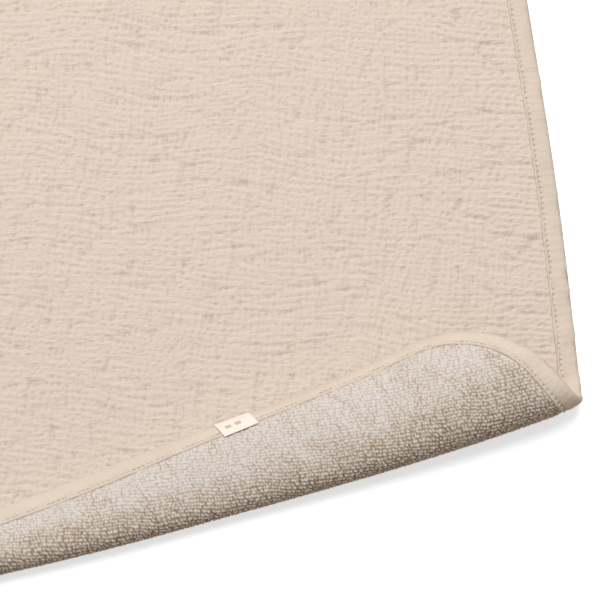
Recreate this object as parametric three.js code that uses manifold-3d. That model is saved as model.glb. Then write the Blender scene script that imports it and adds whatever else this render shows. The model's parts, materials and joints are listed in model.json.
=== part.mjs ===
// Hooded baby towel: a muslin face on a terry reverse, a bias binding round the edge, a hood sewn over
// one corner, and the hem turned up and over at the opposite corner.
// Units are millimetres. X runs along the hem, Y runs from the hem to the hooded side, Z is up.
// The origin is on the ground under the centre of the towel when it lies flat.
//
// Every layer is drawn flat, cut where the cloth folds, and then folded by nested groups.

import * as THREE from 'three';
import { mergeVertices } from 'three/addons/utils/BufferGeometryUtils.js';
import Module from 'manifold-3d';

// ---- driving dimensions ------------------------------------------------------------------------

const SIDE = 800;               // finished towel, edge to edge
const CORNER_RADIUS = 50;       // all four corners are rounded
const BINDING_WIDTH = 11;       // finished width of the bias binding
const BINDING_CLOTH = 0.6;      // thickness of one leg of the folded binding
const MUSLIN = 1.0;             // crinkled double gauze
const TERRY_SEAM = 1.1;         // terry pressed flat inside the binding; elsewhere it reaches the ground
const THREAD = 0.4;             // topstitching thread lying on the binding
const THREAD_WIDTH = 0.8;
const STITCH_INSET = 9;         // topstitching, measured from the towel's edge
const CLEAR = 0.3;              // gap between neighbouring layers
const SEAM_INSET = 1;           // the layers stop this far short of the binding's fold

const HEM_TURN = THREE.MathUtils.degToRad(97.5);  // turn at each of the two hem folds
const HEM_START = -5;           // where along the hem the turned-up part begins
const FIRST_FOLD = [26, 90];    // height of the first fold above the hem, at its start and at the side
const SECOND_FOLD = [15, 65];   // height of the second fold above the hem

const HOOD_LEG = 270;           // hood triangle, measured along the towel's edges
const HOOD_LINING_SEAM = 0.8;   // terry lining of the hood, pressed flat inside the hood's binding
const CORNER_MARGIN = 16;       // the hooded corner folds this far in front of the hood

const LABEL = { along: 248, length: 20, reach: 11.5, thickness: 0.6 };
const CARE_LABEL = { along: 50, length: 18, reach: 32, thickness: 0.5 };
const LOOP = { width: 20, length: 40, tape: 6, thickness: 1.6 };

// ---- heights of the layers ---------------------------------------------------------------------

const HALF = SIDE / 2;
const LOWER_LEG = THREAD + CLEAR;
const TERRY_TONGUE = LOWER_LEG + BINDING_CLOTH + CLEAR;
const TERRY_TOP = TERRY_TONGUE + TERRY_SEAM;
const MUSLIN_BASE = TERRY_TOP + CLEAR;
const MUSLIN_TOP = MUSLIN_BASE + MUSLIN;
const UPPER_LEG = MUSLIN_TOP + CLEAR;
const BINDING_TOP = UPPER_LEG + BINDING_CLOTH;
const THREAD_BASE = BINDING_TOP + CLEAR;
const TOWEL_TOP = THREAD_BASE + THREAD;
const MID = TOWEL_TOP / 2;

const HOOD_BASE = UPPER_LEG;
const HOOD_LOWER_LEG = HOOD_BASE + THREAD + CLEAR;
const HOOD_TONGUE = HOOD_LOWER_LEG + BINDING_CLOTH + CLEAR;
const HOOD_LINING_TOP = HOOD_TONGUE + HOOD_LINING_SEAM;
const HOOD_MUSLIN = HOOD_LINING_TOP + CLEAR;
const HOOD_UPPER_LEG = HOOD_MUSLIN + MUSLIN + CLEAR;
const HOOD_THREAD = HOOD_UPPER_LEG + BINDING_CLOTH + CLEAR;
const HOOD_INSET = BINDING_WIDTH + 1;

// A fold of HEM_TURN brings the edges of both sheets together over its inside, so each side stops short.
const FOLD_GAP = MID * Math.tan(HEM_TURN / 2) + CLEAR;

const ARC_STEPS = 14;           // segments in each rounded corner
const FAR = 4 * SIDE;           // longer than anything on the towel
const OVERSHOOT = 1;            // how far a cutting solid runs past the faces it cuts
const MERGE = 1e-4;             // corners closer than this are one corner

// ---- materials ---------------------------------------------------------------------------------

const cloth = (color, roughness) => () => new THREE.MeshStandardMaterial({ color, roughness, metalness: 0 });
const muslinCloth = cloth(0xe1d2c3, 0.95);
const terryCloth = cloth(0xc8bdb2, 1);
const bindingCloth = cloth(0xdecfc0, 0.9);
const threadCotton = cloth(0xe6d9cb, 0.8);
const labelSatin = cloth(0xf8ecde, 0.6);
const tapeCotton = cloth(0xdecfc0, 0.85);

// ---- solids ------------------------------------------------------------------------------------

const wasm = await Module();
wasm.setup();

function toSolid(geometry) {
  const bare = geometry.index ? geometry.toNonIndexed() : geometry.clone();
  bare.deleteAttribute('normal');
  bare.deleteAttribute('uv');
  const merged = mergeVertices(bare, MERGE);
  const mesh = new wasm.Mesh({
    numProp: 3,
    vertProperties: new Float32Array(merged.attributes.position.array),
    triVerts: new Uint32Array(merged.index.array),
  });
  return new wasm.Manifold(mesh);
}

function toGeometry(solid) {
  const mesh = solid.getMesh();
  const geometry = new THREE.BufferGeometry();
  geometry.setAttribute('position', new THREE.BufferAttribute(mesh.vertProperties, 3));
  geometry.setIndex(new THREE.BufferAttribute(mesh.triVerts, 1));
  geometry.computeVertexNormals();
  return geometry;
}

// A flat plate of the given outline between two heights.
function plate(points, bottom, top) {
  const shape = new THREE.Shape(points);
  const geometry = new THREE.ExtrudeGeometry(shape, { depth: top - bottom, bevelEnabled: false });
  geometry.translate(0, 0, bottom);
  return toSolid(geometry);
}

function arc(centre, radius, from, to) {
  const points = [];
  for (let step = 0; step <= ARC_STEPS; step += 1) {
    const angle = from + ((to - from) * step) / ARC_STEPS;
    points.push(new THREE.Vector2(centre.x + radius * Math.cos(angle), centre.y + radius * Math.sin(angle)));
  }
  return points;
}

// The towel's outline, moved inwards by inset.
function towelOutline(inset) {
  const centre = HALF - CORNER_RADIUS;
  const radius = CORNER_RADIUS - inset;
  const quarter = Math.PI / 2;
  const corners = [[1, 1], [-1, 1], [-1, -1], [1, -1]];
  return corners.flatMap(([x, y], index) => arc(
    new THREE.Vector2(x * centre, y * centre), radius, index * quarter, (index + 1) * quarter,
  ));
}

const towelPlate = (inset, bottom, top) => plate(towelOutline(inset), bottom, top);

// The strip of the towel between two insets.
function towelRim(outer, inner, bottom, top) {
  return towelPlate(outer, bottom, top).subtract(towelPlate(inner, bottom - OVERSHOOT, top + OVERSHOOT));
}

// ---- fold lines and regions --------------------------------------------------------------------

// A line on the flat towel; its left side is the left hand of someone walking along it.
function line(from, to) {
  const start = new THREE.Vector2(...from);
  const along = new THREE.Vector2(...to).sub(start).normalize();
  return { start, along, left: new THREE.Vector2(-along.y, along.x) };
}

// Everything on the left (+1) or right (-1) of a line, from gap onwards.
function sideOf(edge, side, gap = 0) {
  const corner = (along, across) => edge.start.clone()
    .addScaledVector(edge.along, along)
    .addScaledVector(edge.left, side * across);
  const points = [corner(-FAR, gap), corner(FAR, gap), corner(FAR, FAR), corner(-FAR, FAR)];
  return plate(side > 0 ? points : points.reverse(), -HALF, HALF);
}

const firstFold = line([HEM_START, FIRST_FOLD[0] - HALF], [HALF, FIRST_FOLD[1] - HALF]);
const secondFold = line([HEM_START, SECOND_FOLD[0] - HALF], [HALF, SECOND_FOLD[1] - HALF]);
const hemStart = line(
  [HEM_START, -HALF],
  [HEM_START - firstFold.along.y, -HALF + firstFold.along.x],
);
const hoodFront = line([-HALF, HALF - HOOD_LEG], [-HALF + HOOD_LEG, HALF]);
const cornerFold = line(
  [-HALF, HALF - HOOD_LEG - CORNER_MARGIN * Math.SQRT2],
  [-HALF + HOOD_LEG + CORNER_MARGIN * Math.SQRT2, HALF],
);
const diagonal = line([-HALF, HALF], [HALF, -HALF]);

const regions = {
  body: sideOf(firstFold, 1, FOLD_GAP)
    .add(sideOf(hemStart, 1, FOLD_GAP))
    .intersect(sideOf(cornerFold, -1, FOLD_GAP)),
  roll: sideOf(firstFold, -1, FOLD_GAP)
    .intersect(sideOf(secondFold, 1, FOLD_GAP))
    .intersect(sideOf(hemStart, -1)),
  flap: sideOf(secondFold, -1, FOLD_GAP).intersect(sideOf(hemStart, -1)),
  corner: sideOf(cornerFold, 1, FOLD_GAP),
};

// ---- the towel's layers, drawn flat ------------------------------------------------------------

const muslinLayer = towelPlate(SEAM_INSET, MUSLIN_BASE, MUSLIN_TOP);

const terryLayer = towelPlate(BINDING_WIDTH + CLEAR, 0, TERRY_TOP)
  .add(towelPlate(SEAM_INSET, TERRY_TONGUE, TERRY_TOP));

const bindingLayer = towelRim(0, BINDING_WIDTH, LOWER_LEG, LOWER_LEG + BINDING_CLOTH)
  .add(towelRim(0, BINDING_WIDTH, UPPER_LEG, BINDING_TOP))
  .add(towelRim(0, BINDING_CLOTH, LOWER_LEG, BINDING_TOP));

function threadRow(bottom) {
  return towelRim(STITCH_INSET - THREAD_WIDTH / 2, STITCH_INSET + THREAD_WIDTH / 2, bottom, bottom + THREAD);
}

const needleThread = threadRow(THREAD_BASE);
const bobbinThread = threadRow(0);

// ---- nodes and folding groups ------------------------------------------------------------------

function node(name, solid, material) {
  const mesh = new THREE.Mesh(toGeometry(solid), material());
  mesh.name = name;
  return mesh;
}

// Two nested groups that turn their content about a line at the given height on the flat towel.
function foldGroup(name, edge, height, angle) {
  const pivot = new THREE.Group();
  pivot.name = name;
  pivot.position.set(edge.start.x, edge.start.y, height);
  const axis = new THREE.Vector3(edge.along.x, edge.along.y, 0);
  pivot.quaternion.setFromAxisAngle(axis, angle);
  const content = new THREE.Group();
  content.position.copy(pivot.position).negate();
  pivot.add(content);
  return { pivot, content };
}

// The five pieces that a stretch of the towel is made of.
function towelStretch(name, region) {
  return [
    node(`muslin_${name}`, muslinLayer.intersect(region), muslinCloth),
    node(`terry_${name}`, terryLayer.intersect(region), terryCloth),
    ...edgeRun(name, region),
  ];
}

function edgeRun(name, region) {
  return [
    node(`binding_${name}`, bindingLayer.intersect(region), bindingCloth),
    node(`needle_thread_${name}`, needleThread.intersect(region), threadCotton),
    node(`bobbin_thread_${name}`, bobbinThread.intersect(region), threadCotton),
  ];
}

function mainBody() {
  return [
    node('muslin_face', muslinLayer.intersect(regions.body), muslinCloth),
    node('terry_back', terryLayer.intersect(regions.body), terryCloth),
    ...edgeRun('left', regions.body.intersect(sideOf(diagonal, -1))),
    ...edgeRun('right', regions.body.intersect(sideOf(diagonal, 1))),
  ];
}

// A folded woven tab, caught under the binding's inner edge on the terry side of the hem.
function wovenLabel() {
  const seam = BINDING_WIDTH - HALF;
  const left = LABEL.along - LABEL.length / 2;
  const right = LABEL.along + LABEL.length / 2;
  const outline = [
    new THREE.Vector2(left, seam - LABEL.reach),
    new THREE.Vector2(right, seam - LABEL.reach),
    new THREE.Vector2(right, seam),
    new THREE.Vector2(left, seam),
  ];
  return node('woven_label', plate(outline, -CLEAR - LABEL.thickness, -CLEAR), labelSatin);
}

// A plain care label, caught in the seam of the left side binding and lying on the muslin.
function careLabel() {
  const seam = BINDING_WIDTH + 2 * CLEAR - HALF;
  const outline = [
    new THREE.Vector2(seam, CARE_LABEL.along - CARE_LABEL.length / 2),
    new THREE.Vector2(seam + CARE_LABEL.reach, CARE_LABEL.along - CARE_LABEL.length / 2),
    new THREE.Vector2(seam + CARE_LABEL.reach, CARE_LABEL.along + CARE_LABEL.length / 2),
    new THREE.Vector2(seam, CARE_LABEL.along + CARE_LABEL.length / 2),
  ];
  return node('care_label', plate(outline, UPPER_LEG, UPPER_LEG + CARE_LABEL.thickness), labelSatin);
}

// The hood lies on the towel inside the binding, so its two sewn sides follow the towel's outline.
function hoodPieces() {
  const front = (from, to, bottom, top) => towelPlate(HOOD_INSET, bottom, top)
    .intersect(sideOf(hoodFront, 1, from))
    .subtract(sideOf(hoodFront, 1, to));
  const lining = towelPlate(HOOD_INSET, HOOD_BASE, HOOD_LINING_TOP)
    .intersect(sideOf(hoodFront, 1, BINDING_WIDTH + CLEAR))
    .add(towelPlate(HOOD_INSET, HOOD_TONGUE, HOOD_LINING_TOP).intersect(sideOf(hoodFront, 1, SEAM_INSET)));
  const face = towelPlate(HOOD_INSET, HOOD_MUSLIN, HOOD_MUSLIN + MUSLIN)
    .intersect(sideOf(hoodFront, 1, SEAM_INSET));
  const binding = front(0, BINDING_WIDTH, HOOD_LOWER_LEG, HOOD_LOWER_LEG + BINDING_CLOTH)
    .add(front(0, BINDING_WIDTH, HOOD_UPPER_LEG, HOOD_UPPER_LEG + BINDING_CLOTH))
    .add(front(0, BINDING_CLOTH, HOOD_LOWER_LEG, HOOD_UPPER_LEG + BINDING_CLOTH));
  const thread = (bottom) => front(
    STITCH_INSET - THREAD_WIDTH / 2, STITCH_INSET + THREAD_WIDTH / 2, bottom, bottom + THREAD,
  );
  return [
    node('muslin_hood', face, muslinCloth),
    node('terry_hood', lining, terryCloth),
    node('binding_hood_front', binding, bindingCloth),
    node('needle_thread_hood_front', thread(HOOD_THREAD), threadCotton),
    node('bobbin_thread_hood_front', thread(HOOD_BASE), threadCotton),
  ];
}

// The outermost point of the towel's outline on the hooded diagonal, moved inwards by inset.
function hoodTip(inset) {
  const reach = (HALF - CORNER_RADIUS) * Math.SQRT2 + CORNER_RADIUS - inset;
  return new THREE.Vector2(-reach * Math.SQRT1_2, reach * Math.SQRT1_2);
}

// A line through the hooded tip, square to the diagonal: its second point is the tip plus the tip's own
// vector turned a quarter clockwise.
function tipLine(inset) {
  const tip = hoodTip(inset);
  return line([tip.x, tip.y], [tip.x + tip.y, tip.y - tip.x]);
}

// A tape folded into a flat loop, with its two ends at the tip. They stop half a thickness further out than
// the usual gap, so that the loop can stand up against the binding.
function hangingLoop() {
  const edge = tipLine(-CLEAR - LOOP.thickness / 2);
  const outward = edge.left;
  const stadium = (halfWidth, length) => {
    const centre = edge.start.clone().addScaledVector(outward, length - halfWidth);
    const facing = Math.atan2(outward.y, outward.x);
    const bow = arc(centre, halfWidth, facing - Math.PI / 2, facing + Math.PI / 2);
    const foot = (side) => edge.start.clone().addScaledVector(edge.along, side * halfWidth);
    return [...bow, foot(-1), foot(1)];
  };
  const bottom = MID - LOOP.thickness / 2;
  const top = MID + LOOP.thickness / 2;
  const halfWidth = LOOP.width / 2;
  const opening = plate(
    stadium(halfWidth - LOOP.tape, LOOP.length - LOOP.tape), bottom - OVERSHOOT, top + OVERSHOOT,
  );
  const loop = plate(stadium(halfWidth, LOOP.length), bottom, top).subtract(opening);
  return node('hanging_loop', loop, tapeCotton);
}

// ---- assembly ----------------------------------------------------------------------------------

const towel = new THREE.Group();
towel.name = 'hooded_towel';
towel.add(...mainBody(), careLabel());

const roll = foldGroup('hem_roll', firstFold, MID, -HEM_TURN);
roll.content.add(...towelStretch('hem_roll', regions.roll));
towel.add(roll.pivot);

const flap = foldGroup('hem_flap', secondFold, MID, -HEM_TURN);
flap.content.add(...towelStretch('hem_flap', regions.flap), wovenLabel());
roll.content.add(flap.pivot);

towel.add(...towelStretch('hooded_corner', regions.corner), ...hoodPieces(), hangingLoop());

export default towel;
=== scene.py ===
"""Hooded baby towel: crinkled muslin over terry, a bound edge, a hood at one corner and a rolled hem.

Lengths are in millimetres in the towel's own frame and become metres when a mesh is made. Every layer is
drawn on the flat towel as (x, y) and an offset from its middle surface, and the rolled hem is one curling
map that all the layers share, so that they stay together.
"""

import json
import math

import bpy
import numpy as np
from mathutils import Matrix, Vector


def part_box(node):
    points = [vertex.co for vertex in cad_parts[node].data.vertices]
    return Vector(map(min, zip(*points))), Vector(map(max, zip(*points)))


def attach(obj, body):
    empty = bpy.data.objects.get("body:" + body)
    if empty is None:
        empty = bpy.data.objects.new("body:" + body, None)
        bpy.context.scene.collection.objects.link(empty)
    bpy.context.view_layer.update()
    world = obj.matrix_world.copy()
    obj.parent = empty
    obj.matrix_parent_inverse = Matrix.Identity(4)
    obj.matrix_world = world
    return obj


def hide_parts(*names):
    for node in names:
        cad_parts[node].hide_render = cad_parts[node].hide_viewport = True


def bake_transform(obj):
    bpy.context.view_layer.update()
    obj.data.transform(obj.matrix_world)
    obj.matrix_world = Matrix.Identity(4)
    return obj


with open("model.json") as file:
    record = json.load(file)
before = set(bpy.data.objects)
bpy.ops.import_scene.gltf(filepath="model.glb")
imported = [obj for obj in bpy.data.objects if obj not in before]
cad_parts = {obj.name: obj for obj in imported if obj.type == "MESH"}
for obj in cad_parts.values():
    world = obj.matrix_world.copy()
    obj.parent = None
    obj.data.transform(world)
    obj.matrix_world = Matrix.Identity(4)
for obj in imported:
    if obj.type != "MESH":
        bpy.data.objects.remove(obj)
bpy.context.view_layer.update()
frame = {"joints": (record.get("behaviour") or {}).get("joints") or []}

# ---- sizes from the frame ----

MM = 0.001
JOINTS = {joint["name"]: joint for joint in frame["joints"]}


def joint_place(name):
    """A joint's point and axis, in millimetres."""
    joint = JOINTS[name]
    return np.array(joint["pos_m"]) / MM, np.array(joint["axis"])


def box_mm(node):
    low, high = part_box(node)
    return np.array(low) / MM, np.array(high) / MM


HALF = box_mm("binding_right")[1][0]
MID = joint_place("hem_roll_turn")[0][2]
HOOD_LINE = box_mm("binding_hood_front")[1][0] + HALF
HINGE_TURN = math.radians(JOINTS["hem_roll_turn"]["range_deg"][1])

# ---- sizes of the cloth ----

BINDING_WIDTH = 11.0
CORNER_RADIUS = 50.0
STITCH_INSET = 9.0
STITCH_PITCH = 2.9
HOLE_DEPTH = 0.75
MUSLIN_TOP = 1.9        # offsets from the middle surface
TERRY_UNDER = -2.3
TUCK = 4.0              # the sheets run under the binding to this inset

# the rolled hem: sections are square to the heading, and change slowly along it
ROLL_HEADING = math.radians(17.8)
ROLL_MIDDLE = 275.0     # x of the hem's middle section, from which places along the roll are measured
LIFT_OFF = 73.1         # from the hem's edge back to where the cloth leaves the table
LIFT_OFF_SLOPE = 0.1125
LIFT_OFF_BOW = -0.0003
ROLL_RADIUS_LEAST = 6.9
ROLL_RADIUS_MOST = 15.9
ROLL_GROWS = (-74.0, 191.0)
TURN_MOST = math.radians(215)
TURN_HELD = 45.0        # past this place the corner hangs free, so the turn no longer changes
FLAP_CURVE = math.radians(34.3) / 30.0
EDGE_DROOP = math.radians(6.0)
EDGE_DROOP_MORE = math.radians(29.4)
DROOP_PLACE = -7.0
DROOP_SPREAD = 66.0
DROOP_LENGTH = 19.4
RUN_OUT = -170.0        # left of this place the curl opens and dies away
RUN_OUT_BOW = 0.0024
RUN_OUT_OPENING = 0.0005

# the part seen from near has finer meshes
NEAR_FROM_X = 80.0      # it runs from this x to the side edge
NEAR_TO_Y = -50.0       # and from the hem to this y


def smooth(value):
    value = np.clip(value, 0.0, 1.0)
    return value * value * (3.0 - 2.0 * value)


def beyond_straights(x, y):
    """Distance of flat points past the square that the corners' centres make."""
    reach = HALF - CORNER_RADIUS
    return np.hypot(np.maximum(np.abs(x) - reach, 0.0), np.maximum(np.abs(y) - reach, 0.0))


def edge_distance(x, y):
    reach = HALF - CORNER_RADIUS
    near = np.minimum(HALF - np.abs(x), HALF - np.abs(y))
    in_corner = (np.abs(x) > reach) & (np.abs(y) > reach)
    return np.where(in_corner, CORNER_RADIUS - beyond_straights(x, y), near)


# ---- the curling map ----

ALONG = np.array([math.cos(ROLL_HEADING), math.sin(ROLL_HEADING)])
ACROSS = np.array([math.sin(ROLL_HEADING), -math.cos(ROLL_HEADING)])
MIDDLE_ALONG, MIDDLE_ACROSS = np.array([ROLL_MIDDLE, -HALF]) @ np.stack([ALONG, ACROSS], 1)
SIDE_ALONG = np.array([HALF, CORNER_RADIUS - HALF]) @ ALONG


def flat_points(along, across):
    return along * ALONG[0] + across * ACROSS[0], along * ALONG[1] + across * ACROSS[1]


def hem_across(along):
    """Where a section meets the towel's edge: on the hem, on the rounded corner or on the side."""
    centre = np.array([HALF - CORNER_RADIUS, CORNER_RADIUS - HALF])
    centre_along, centre_across = centre @ ALONG, centre @ ACROSS
    hem_end = np.array([centre[0], -HALF]) @ ALONG
    hem = MIDDLE_ACROSS + (along - MIDDLE_ALONG) * math.tan(ROLL_HEADING)
    corner = centre_across + np.sqrt(np.maximum(CORNER_RADIUS**2 - (along - centre_along) ** 2, 0.0))
    return np.where(along < hem_end, hem, corner)


def lift_off(along):
    """Where a section leaves the table."""
    place = along - MIDDLE_ALONG
    dying = np.maximum(RUN_OUT - place, 0.0)
    bow = place**2 * LIFT_OFF_BOW + RUN_OUT_BOW * dying**2
    return MIDDLE_ACROSS - LIFT_OFF + place * LIFT_OFF_SLOPE + bow


def roll_radius(along):
    place = along - MIDDLE_ALONG
    start, end = ROLL_GROWS
    share = smooth((place - start) / (end - start))
    dying = np.maximum(RUN_OUT - place, 0.0)
    return ROLL_RADIUS_LEAST + (ROLL_RADIUS_MOST - ROLL_RADIUS_LEAST) * share + RUN_OUT_OPENING * dying**2


SECTION_RUN = 105.0     # length of cloth traced in each section
SECTION_STEPS = 210
FLAP_LONGEST = 60.0     # past this length the flap bows no further
EDGE_GAP = 0.3          # between the muslin and a flap's edge that rests on it
EDGE_THICK = 2.4        # and the edge's own half thickness, which counts where it lies flat


def edge_turn(along):
    """How much the sections droop towards the towel's edge, at every step of their run."""
    run = np.linspace(0.0, SECTION_RUN, SECTION_STEPS + 1)[:, None]
    across = lift_off(along) + run
    inset = edge_distance(*flat_points(along, across))
    near = (along - MIDDLE_ALONG - DROOP_PLACE) / DROOP_SPREAD
    return (EDGE_DROOP + EDGE_DROOP_MORE * np.exp(-(near**2))) * smooth(1.0 - inset / DROOP_LENGTH)


def trace_section(radius, turn, droop):
    """Integrates sections of cloth: a round roll, a gently bowed flap and a drooping edge."""
    run = np.linspace(0.0, SECTION_RUN, SECTION_STEPS + 1)[:, None]
    flap = np.clip(run - radius * turn, 0.0, FLAP_LONGEST)
    angle = np.minimum(run / radius, turn) + FLAP_CURVE * flap + droop
    middle = 0.5 * (angle[1:] + angle[:-1])
    step = np.diff(run, axis=0)
    start = np.zeros((1, radius.size))
    outward = np.concatenate([start, np.cumsum(np.cos(middle) * step, 0)])
    height = np.concatenate([start, np.cumsum(np.sin(middle) * step, 0)])
    return outward, height, angle


def bilinear(table, i, k, u, j, m, v):
    """Mixes a table's columns i and k by u, and its rows j and m by v."""
    low = table[j, i] * (1 - u) + table[j, k] * u
    high = table[m, i] * (1 - u) + table[m, k] * u
    return low * (1 - v) + high * v


def look_up(table, column, row):
    i = np.clip(column.astype(int), 0, table.shape[1] - 2)
    j = np.clip(row.astype(int), 0, table.shape[0] - 2)
    return bilinear(table, i, i + 1, column - i, j, j + 1, row - j)


def settle_turn(along):
    """How far each roll turns before its flap's edge comes to rest on the muslin."""
    along = np.minimum(along, MIDDLE_ALONG + TURN_HELD)
    radius, droop = roll_radius(along), edge_turn(along)
    column = np.arange(along.size, dtype=float)
    row = np.maximum(hem_across(along) - lift_off(along), 1.0) / SECTION_RUN * SECTION_STEPS
    low = np.full_like(along, math.radians(100))
    high = np.full_like(along, TURN_MOST)
    for _ in range(20):
        turn = 0.5 * (low + high)
        _, height, angle = trace_section(radius, turn, droop)
        lying_flat = np.maximum(-np.cos(look_up(angle, column, row)), 0.0)
        above = look_up(height, column, row) > MUSLIN_TOP + EDGE_GAP + EDGE_THICK * lying_flat
        low = np.where(above, turn, low)
        high = np.where(above, high, turn)
    return 0.5 * (low + high)


TABLE_ALONG = np.linspace(MIDDLE_ALONG - 360.0, SIDE_ALONG + 60.0, 560)
TABLE_OUT, TABLE_HEIGHT, TABLE_ANGLE = trace_section(
    roll_radius(TABLE_ALONG), settle_turn(TABLE_ALONG), edge_turn(TABLE_ALONG))


def beyond_lift_off(x, y):
    """Place along the roll, and how far past the lift-off line a flat point lies."""
    along, across = x * ALONG[0] + y * ALONG[1], x * ACROSS[0] + y * ACROSS[1]
    beyond = across - lift_off(along)
    return along, np.where(along > TABLE_ALONG[0], beyond, np.minimum(beyond, 0.0))


def table_place(along, run):
    """Column and row of the tables for a place along the roll and a run past the lift-off line."""
    column = (along - TABLE_ALONG[0]) / (TABLE_ALONG[1] - TABLE_ALONG[0])
    row = np.clip(run / SECTION_RUN, 0.0, 0.999) * SECTION_STEPS
    return np.clip(column, 0.0, TABLE_ALONG.size - 1.001), row


def curl(x, y):
    """Places flat points on the resting towel: middle-surface point and normal on the muslin side."""
    along, run = beyond_lift_off(x, y)
    column, row = table_place(along, run)
    rolled = run > 0
    across = lift_off(along) + np.where(rolled, look_up(TABLE_OUT, column, row), run)
    angle = np.where(rolled, look_up(TABLE_ANGLE, column, row), 0.0)
    height = MID + np.where(rolled, look_up(TABLE_HEIGHT, column, row), 0.0)
    point = np.stack([*flat_points(along, across), height], -1)
    normal = np.stack([-np.sin(angle) * ACROSS[0], -np.sin(angle) * ACROSS[1], np.cos(angle)], -1)
    return point, normal


SWAY = 1.3
SWAY_LENGTH = 310.0
SWAY_START = 120.0
LOWEST = 0.02           # height below which no point of the cloth goes


def sway(x, y):
    """The towel's sides aren't quite straight: they wander by about a millimetre."""
    def wander(value, other):
        wave = np.sin(2 * math.pi * (-other - SWAY_START) / SWAY_LENGTH)
        return SWAY * wave * smooth((np.abs(value) - 0.6 * HALF) / (0.4 * HALF)) * np.sign(value)
    return x + wander(x, y), y + 0.6 * wander(y, x)


def place(x, y, offset):
    """A flat point, offset from the middle surface, on the resting towel."""
    x, y = sway(x, y)
    point, normal = curl(x, y)
    point = point + normal * offset[..., None]
    point[..., 2] = np.maximum(point[..., 2], LOWEST)
    return point


# ---- how far each point turns with each joint ----

CORNER_POINT, CORNER_AXIS = joint_place("hood_raise")
CORNER_BEND = 9.0       # reach over which the cloth bends, on each side of the hooded corner's fold line
CORNER_CUT = -CORNER_BEND - 4.0
FLAP_MARGIN = 1.6       # cloth that turns with the roll alone, before the flap starts to turn
FLAP_EASE = 7.0         # run over which the flap takes up its own turn
LEVEL_EASE = 8.0        # the turn eases to level over 1.4 radii of run and this much more
UP = np.array([0.0, 0.0, 1.0])
ROLLED_UP = UP * math.cos(HINGE_TURN) - np.cross(joint_place("hem_roll_turn")[1], UP) * math.sin(HINGE_TURN)


def levelling(joint, upward, places, height):
    """Turn about a hinge that brings places down to a height above its level, and their distance from it."""
    point, axis = joint_place(joint)
    arm = places - point
    rise, reach = arm @ upward, arm @ np.cross(axis, upward)
    distance = np.maximum(np.hypot(rise, reach), 1e-6)
    angle = (np.arctan2(rise, reach) + math.pi / 2) % (2 * math.pi) - math.pi / 2
    return angle - np.arcsin(np.clip(height / distance, -1.0, 1.0)), distance


def roll_weights(x, y, places, offset):
    """Run past the lift-off line, distance past the flap's start, and the share of each hinge's turn.

    The shares lay the unrolled cloth flat. The roll turns about the first hinge until it is level; the flap
    starts where that takes the hinge's whole turn, and turns about the second hinge until it is level too.
    """
    along, run = beyond_lift_off(x, y)
    radius = roll_radius(along)
    level, distance = levelling("hem_roll_turn", UP, places, offset)
    chord = 0.5 * np.minimum(run / radius, 2 * HINGE_TURN)
    turn = np.minimum(chord + (level - chord) * smooth(run / (1.4 * radius + LEVEL_EASE)), level)
    past = np.where(run > 0, distance * (turn - HINGE_TURN), -1.0)
    first = np.where(run > 0, np.clip(turn / HINGE_TURN, 0.0, 1.0), 0.0)
    level, _ = levelling("hem_flap_turn", ROLLED_UP, places, offset)
    second = smooth((past - FLAP_MARGIN) / FLAP_EASE) * np.clip(level / HINGE_TURN, 0.0, 1.0)
    return run, past - 0.5 * FLAP_MARGIN, first, second


def corner_reach(x, y):
    """How far a flat point lies beyond the fold line of the hooded corner."""
    return ((CORNER_POINT[0] - x) + (y - CORNER_POINT[1])) / math.sqrt(2)


def corner_weight(x, y):
    return smooth((corner_reach(x, y) + CORNER_BEND) / (2 * CORNER_BEND))


def hood_span(x, y):
    """Distances from the hood's two sewn edges, and how far up the arch between them a place lies."""
    left = np.maximum(x + HALF - BINDING_WIDTH, 0.0)
    top = np.maximum(HALF - BINDING_WIDTH - y, 0.0)
    arch = 4 * left * top / np.maximum(left + top, 1e-6) ** 2
    return left, top, arch


def hood_weight(x, y):
    return smooth(hood_span(x, y)[2] ** 0.8)


# ---- noise ----

def band_pass(field, step, weight):
    """A periodic field with its waves scaled by weight(cycles along u, cycles along v)."""
    cycles_u = np.fft.rfftfreq(field.shape[0], step)[None, :]
    cycles_v = np.abs(np.fft.fftfreq(field.shape[0], step))[:, None]
    return np.fft.irfft2(np.fft.rfft2(field) * weight(cycles_u, cycles_v), s=field.shape)


def band_noise(seed, size, step, weight):
    """Periodic noise whose spectrum is weight, with unit spread."""
    noise = band_pass(np.random.default_rng(seed).standard_normal((size, size)), step, weight)
    return noise / noise.std()


def bell(value, centre, width):
    return np.exp(-(((value - centre) / width) ** 2))


def sample(field, step, u, v):
    """Looks a place up in a periodic field."""
    size = field.shape[0]
    column, row = (u / step) % size, (v / step) % size
    i, j = column.astype(int) % size, row.astype(int) % size
    p, q = column - np.floor(column), row - np.floor(row)
    return bilinear(field, i, (i + 1) % size, p, j, (j + 1) % size, q)


CRINKLE_STEP = 0.6
CRINKLE_SIZE = 1440
GRAIN = math.radians(-10.0)
GRAIN_SKEW = math.radians(-2.0)    # the columns lean a little further than the rows
PUFF_PITCH = 3.3        # spacing of the gauze's creases
FINE_PITCH = 1.9


def crease_field(seed, pitch, length, across):
    """Noise that changes sign about once a pitch across the creases, and holds for a length along them.

    Its height is evened out over patches of about two pitches by half a length.
    """
    def weight(centre, cross_width, along_width):
        def waves(u, v):
            cross, along = (u, v) if across else (v, u)
            return bell(cross, centre / pitch, cross_width / pitch) * bell(along, 0.0, along_width / length)
        return waves

    noise = band_noise(seed, CRINKLE_SIZE, CRINKLE_STEP, weight(0.5, 0.22, 0.32))
    square = band_pass(noise**2, CRINKLE_STEP, weight(0.0, 0.25, 0.8))
    return noise / np.maximum(np.sqrt(np.maximum(square, 0.0)), 0.3)


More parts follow.
